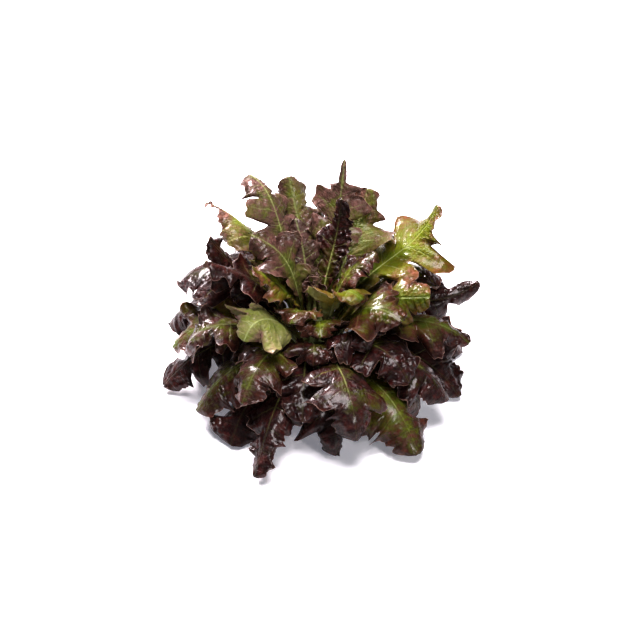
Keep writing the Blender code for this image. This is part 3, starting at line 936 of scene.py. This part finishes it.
class LeafFinish(Finish):
    """Two-faced leaf: glossy purple-brown over green inside, paler and duller outside.

    glow is how much light a green blade lets through. The rim starts at rim_from, where 0
    is the midrib and 1 the margin."""

    def __init__(self, name, glow, rim_from, rim_colour):
        super().__init__(name)
        self.flat = self.node("ShaderNodeUVMap", {"uv_map": "blade"}, {})
        place = self.node("ShaderNodeTexCoord", {}, {}, "Object")
        self.run, self.edge = self.mark("run"), self.mark("edge")
        self.inside, self.pigment = self.mark("inner_face"), self.mark("pigment")
        self.broad = self.noise(place, PATCHES, 2.0)
        self.mottle = self.noise(place, MOTTLES, 4.0, 0.68)
        self.vein, self.fine_vein = self.veins()
        self.purple = self.purple_share()

        rim = self.edge.step(rim_from, 1.0) * self.run.step(0.2, 0.4)
        body = self.mix(self.inside, self.outer_face(), self.inner_face())
        self.set(
            Base_Color=self.mix(rim * 0.75, body, rim_colour),
            Roughness=(0.52 - 0.12 * self.inside + 0.25 * (self.mottle - 0.5)).clamped(),
            Coat_Weight=(0.08 + 0.3 * self.inside + 0.9 * (self.mottle - 0.5)).clamped(),
            Coat_Roughness=COAT_ROUGHNESS,
            Specular_IOR_Level=SPECULAR,
            Normal=self.bump(self.relief(), RELIEF_STRENGTH, RELIEF_DEPTH),
        )
        self.let_light_through(glow)

    def veins(self):
        """The midrib with the side veins that feed the lobes, and the net between them."""
        from_rib = abs(self.node("ShaderNodeSeparateXYZ", {}, {0: self.flat}, "X"))
        rib_width = RIB_LINE - RIB_NARROWS * self.run
        midrib_line = 1.0 - (from_rib - rib_width * 0.5).step(0.0, RIB_SOFT_EDGE)
        bent = self.mark("side_vein") + 0.25 * (self.mottle - 0.5)
        to_vein = abs(bent.maths("PINGPONG", bent, 0.5))
        side_line = (1.0 - to_vein.step(0.0, 0.05)) * (1.0 - self.edge.step(0.45, 1.0))
        net = 1.0 - self.cells(self.flat, NET, "DISTANCE_TO_EDGE").step(0.0, 0.13)
        coarse_net = 1.0 - self.cells(self.flat, COARSE_NET, "DISTANCE_TO_EDGE").step(0.0, 0.06)
        return midrib_line.or_more(side_line * 0.75), (net * 0.35).or_more(coarse_net * 0.55)

    def purple_share(self):
        """How much of the purple pigment lies at each place."""
        patches = 1.7 * (self.broad - 0.5) + 1.1 * (self.mottle - 0.5)
        spread = 0.6 * self.run + 0.42 * self.edge + patches
        purple = (spread + 1.25 * self.pigment - 1.12).step(-0.32, 0.32)
        return purple * (1.0 - 0.5 * self.vein * (1.0 - self.run.step(0.3, 0.8)))

    def inner_face(self):
        mottle, purple = self.mottle, self.purple
        fresh = self.mix(self.broad.step(0.35, 0.65), DEEP_GREEN, FRESH_GREEN)
        fresh = self.mix(self.pigment.step(0.4, 0.85) * 0.8, fresh, BROWN_GREEN)
        rusty = (self.edge * 0.7 + 1.6 * (mottle - 0.5)).clamped()
        olive = self.mix(rusty, fresh, RUSTY_OLIVE)
        deep = self.mix(mottle.step(0.4, 0.8), DEEP_PURPLE, RED_PURPLE)
        light = self.mix(mottle.step(0.35, 0.72), SHADED_BROWN, LIGHT_BROWN)
        dark = self.mix(self.pigment.step(0.2, 0.68), light, deep)
        flesh = self.mix(purple, olive, dark)
        shown = self.vein * (1.0 - 0.8 * purple) * (1.0 - 0.85 * self.run.step(0.35, 0.9))
        veined = self.mix(shown.clamped(), flesh, INNER_VEIN)
        return self.mix(self.fine_vein * (0.3 - 0.22 * purple), veined, INNER_FINE_VEIN)

    def outer_face(self):
        pale = self.mix(self.mottle.step(0.3, 0.7), DULL_GREEN, PALE_GREEN)
        mauve = self.mix(self.mottle.step(0.35, 0.7), DULL_MAUVE, PALE_MAUVE)
        flesh = self.mix(self.purple * 0.85, pale, mauve)
        veined = self.mix(self.vein * 0.8, flesh, OUTER_VEIN)
        return self.mix(self.fine_vein * 0.35, veined, OUTER_FINE_VEIN)

    def relief(self):
        """Veins sunk in the inner face and raised on the outer one, blisters and crinkles."""
        sunk = 0.9 * (0.5 - self.vein) * self.inside
        raised = 0.9 * self.vein * (1.0 - self.inside)
        blister = self.cells(self.flat, BLISTERS, "SMOOTH_F1")
        crinkle = self.noise(self.flat, CRINKLES, 2.0)
        grain = self.noise(self.flat, GRAIN, 3.0)
        flesh = 1.5 * blister * self.inside + 1.8 * crinkle + 0.12 * grain
        return sunk + raised + flesh - 0.4 * self.fine_vein

    def let_light_through(self, glow):
        through = self.node("ShaderNodeBsdfTranslucent", {}, {"Color": THROUGH_LIGHT})
        share = glow * (1.0 - 0.92 * self.purple) * (1.0 - 0.5 * self.vein)
        skin = Signal(self, self.shader.outputs[0])
        mixed = self.node("ShaderNodeMixShader", {}, {0: share, 1: skin, 2: through})
        self.feed(self.output.inputs["Surface"], mixed)


def stem_finish():
    """Pale green flesh, browner where it was cut, with painted shade of a deeper green up among the
    leaves.
    """
    stem = Finish("stem_flesh")
    place = stem.node("ShaderNodeTexCoord", {}, {}, "Object")
    height = stem.node("ShaderNodeSeparateXYZ", {}, {0: place}, "Z")
    blotch = stem.noise(place, STEM_BLOTCHES, 4.0)
    cut = 1.0 - height.step(0.0, 0.003)
    flesh = stem.mix(blotch, STEM_FLESH, PALE_STEM_FLESH)
    flesh = stem.mix(cut * 0.7, flesh, CUT_BROWN)
    # Painted shade: the stem turns a deeper green by height, up among the leaves
    flesh = stem.mix(height.step(0.03, 0.056) * 0.85, flesh, SHADED_GREEN)
    stem.set(
        Base_Color=flesh,
        Roughness=(0.42 + 0.3 * (blotch - 0.5)).clamped(),
        Normal=stem.bump(blotch, 0.4, 0.001),
    )
    return stem.material


# How much purple pigment a leaf has, by whorl, and how much it varies from leaf to leaf
PIGMENTS = {"outer_leaf": 0.9, "middle_leaf": 0.72, "upper_leaf": 0.42, "inner_leaf": 0.42}
PIGMENT_SPREAD = 0.09
HEART_PIGMENT = 0.55

# Leaves that are greener or more purple than the rest of their whorl
OWN_PIGMENT = {
    "outer_leaf_06": 0.78,
    "outer_leaf_08": 0.6,
    "outer_leaf_12": 0.52,
    "outer_leaf_13": 0.68,
    "middle_leaf_01": 0.95,
    "middle_leaf_07": 0.5,
    "middle_leaf_08": 0.6,
    "middle_leaf_09": 0.56,
    "middle_leaf_10": 0.85,
    "middle_leaf_11": 0.64,
    "middle_leaf_13": 0.58,
    "upper_leaf_01": 0.2,
    "upper_leaf_02": 0.42,
    "upper_leaf_03": 0.5,
    "upper_leaf_04": 0.5,
    "upper_leaf_05": 0.55,
    "upper_leaf_06": 0.35,
    "upper_leaf_07": 0.85,
    "upper_leaf_08": 0.65,
    "upper_leaf_09": 0.1,
    "upper_leaf_10": 0.6,
    "upper_leaf_11": 0.9,
    "upper_leaf_12": 0.5,
    "upper_leaf_13": 0.25,
    "inner_leaf_02": 0.7,
    "inner_leaf_03": 0.75,
    "inner_leaf_04": 0.55,
    "inner_leaf_05": 0.25,
    "inner_leaf_07": 0.45,
    "inner_leaf_08": 0.15,
}

# Leaves whose inner face goes this far towards the pale, dull outer one
PALENESS = {
    "upper_leaf_02": 0.3,
    "upper_leaf_03": 0.4,
    "upper_leaf_04": 0.4,
    "upper_leaf_05": 0.45,
    "upper_leaf_06": 0.3,
    "upper_leaf_09": 0.75,
    "inner_leaf_03": 0.4,
    "inner_leaf_04": 0.3,
}


def dress_leaves():
    """A finely made blade in place of each leaf's solid, and of the heart's."""
    finish = LeafFinish("leaf_skin", LEAF_GLOW, LEAF_RIM_FROM, LEAF_RIM).material
    heart_finish = LeafFinish("heart_leaf_skin", HEART_GLOW, HEART_RIM_FROM, HEART_RIM).material
    for number, (name, (leaf, seed, calm)) in enumerate(place_leaves().items()):
        whorl = name[:-3]
        tint = np.random.default_rng((SEED, number)).normal(0, PIGMENT_SPREAD)
        blade = BladeMesh()
        pigment = OWN_PIGMENT.get(name, PIGMENTS[whorl] + tint)
        blade.add(leaf, seed, calm, ROWS, COLUMNS, pigment, PALENESS.get(name, 0.0))
        piece = blade.piece(name + "_blade", finish)
        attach(piece, "root")
        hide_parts(name)
    heart = BladeMesh()
    for number, leaf in enumerate(heart_leaves()):
        seed = (SEED, HEART_LEAVES, number)
        heart.add(leaf, seed, 1, HEART_ROWS, HEART_COLUMNS, HEART_PIGMENT)
    piece = heart.piece("heart_leaves", heart_finish)
    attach(piece, "root")
    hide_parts("heart")
    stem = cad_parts["stem"]
    stem.data.materials.clear()
    stem.data.materials.append(stem_finish())


# The floor reaches this far each way. Close to the head it takes the shadows, which its weak bluish
# glow lifts as painted light, and farther out its own glow keeps it pale, so that every view ends in white
FLOOR_REACH = 30.0
GLOW_FROM = 1.0
GLOW_FULL = 2.5
PAPER_WHITE = colour(0.93, 0.93, 0.94)
PAPER_SHADE = colour(0.9, 0.9, 0.92)
# Painted light: the dim bluish glow near the head that lifts the floor's shadows
SHADOW_LIFTING_GLOW = colour(0.17, 0.175, 0.2)
FAR_GLOW = colour(0.9, 0.9, 0.92)


def make_floor():
    """A plain pale sheet, large enough to fill every view, that glows as painted light to lift its
    shadows.
    """
    mesh = bpy.data.meshes.new("pale_floor")
    ends = ((-1, -1), (1, -1), (1, 1), (-1, 1))
    corners = [(FLOOR_REACH * x, FLOOR_REACH * y, 0) for x, y in ends]
    mesh.from_pydata(corners, [], [(0, 1, 2, 3)])
    paper = Finish("pale_paper")
    place = paper.node("ShaderNodeTexCoord", {}, {}, "Object")
    shade = paper.mix(paper.noise(place, PAPER_TONES), PAPER_WHITE, PAPER_SHADE)
    away = paper.node("ShaderNodeVectorMath", {"operation": "LENGTH"}, {0: place}, "Value")
    # The floor's glow is painted light: dim and bluish near the head, where it lifts the shadows, and
    # white farther out
    glow = paper.mix(away.step(GLOW_FROM, GLOW_FULL), SHADOW_LIFTING_GLOW, FAR_GLOW)
    paper.set(Base_Color=shade, Roughness=0.6, Emission_Color=glow, Emission_Strength=1.0)
    mesh.materials.append(paper.material)
    floor = bpy.data.objects.new("pale_floor", mesh)
    bpy.context.scene.collection.objects.link(floor)


# Soft lights that point at the middle of the head: place, size, power in watts and tone
HEAD_MIDDLE = (0.0, 0.0, 0.06)
LIGHTS = {
    "back_light": ((-0.6, 0.95, 1.0), (0.5, 0.4), 46, (1.0, 0.92, 0.96)),
    "top_light": ((0.1, -0.1, 1.5), (0.7, 0.7), 27, (1.0, 0.95, 0.97)),
    "front_light": ((0.9, -1.1, 0.9), (0.25, 0.25), 6, (1.0, 0.96, 0.95)),
}
ROOM_TONE = colour(0.95, 0.97, 1.0)
ROOM_STRENGTH = 0.03
EXPOSURE = 0.48
GAMMA = 0.82


def make_light(name, place, size, power, tone):
    lamp = bpy.data.lights.new(name, "AREA")
    lamp.shape = "RECTANGLE"
    lamp.size, lamp.size_y = size
    lamp.energy = power
    lamp.color = tone
    made = bpy.data.objects.new(name, lamp)
    made.location = place
    made.rotation_mode = "QUATERNION"
    made.rotation_quaternion = (Vector(HEAD_MIDDLE) - made.location).to_track_quat("-Z", "Y")
    bpy.context.scene.collection.objects.link(made)


def make_studio():
    """A dim even room, soft lights behind and above, a weak one in front, firm contrast."""
    scene = bpy.context.scene
    world = bpy.data.worlds.new("white_room")
    world.use_nodes = True
    background = world.node_tree.nodes["Background"]
    background.inputs["Color"].default_value = ROOM_TONE
    background.inputs["Strength"].default_value = ROOM_STRENGTH
    scene.world = world
    for name, light in LIGHTS.items():
        make_light(name, *light)
    scene.view_settings.view_transform = "Standard"
    scene.view_settings.look = "None"
    scene.view_settings.exposure = EXPOSURE
    scene.view_settings.gamma = GAMMA


# The camera, in degrees and metres, with its lens and sensor in millimetres
CAMERA_ELEVATION = 38
CAMERA_DISTANCE = 1.375
CAMERA_AIM = (0.005, 0.0, 0.055)
LENS = 85
SENSOR = 36


def make_camera():
    lens = bpy.data.cameras.new("camera")
    lens.lens = LENS
    lens.sensor_width = SENSOR
    camera = bpy.data.objects.new("camera", lens)
    slope = math.radians(CAMERA_ELEVATION)
    back = Vector((0.0, -math.cos(slope), math.sin(slope)))
    camera.location = Vector(CAMERA_AIM) + back * CAMERA_DISTANCE
    camera.rotation_mode = "QUATERNION"
    camera.rotation_quaternion = (-back).to_track_quat("-Z", "Y")
    bpy.context.scene.collection.objects.link(camera)
    bpy.context.scene.camera = camera


make_camera()
make_studio()
make_floor()
dress_leaves()
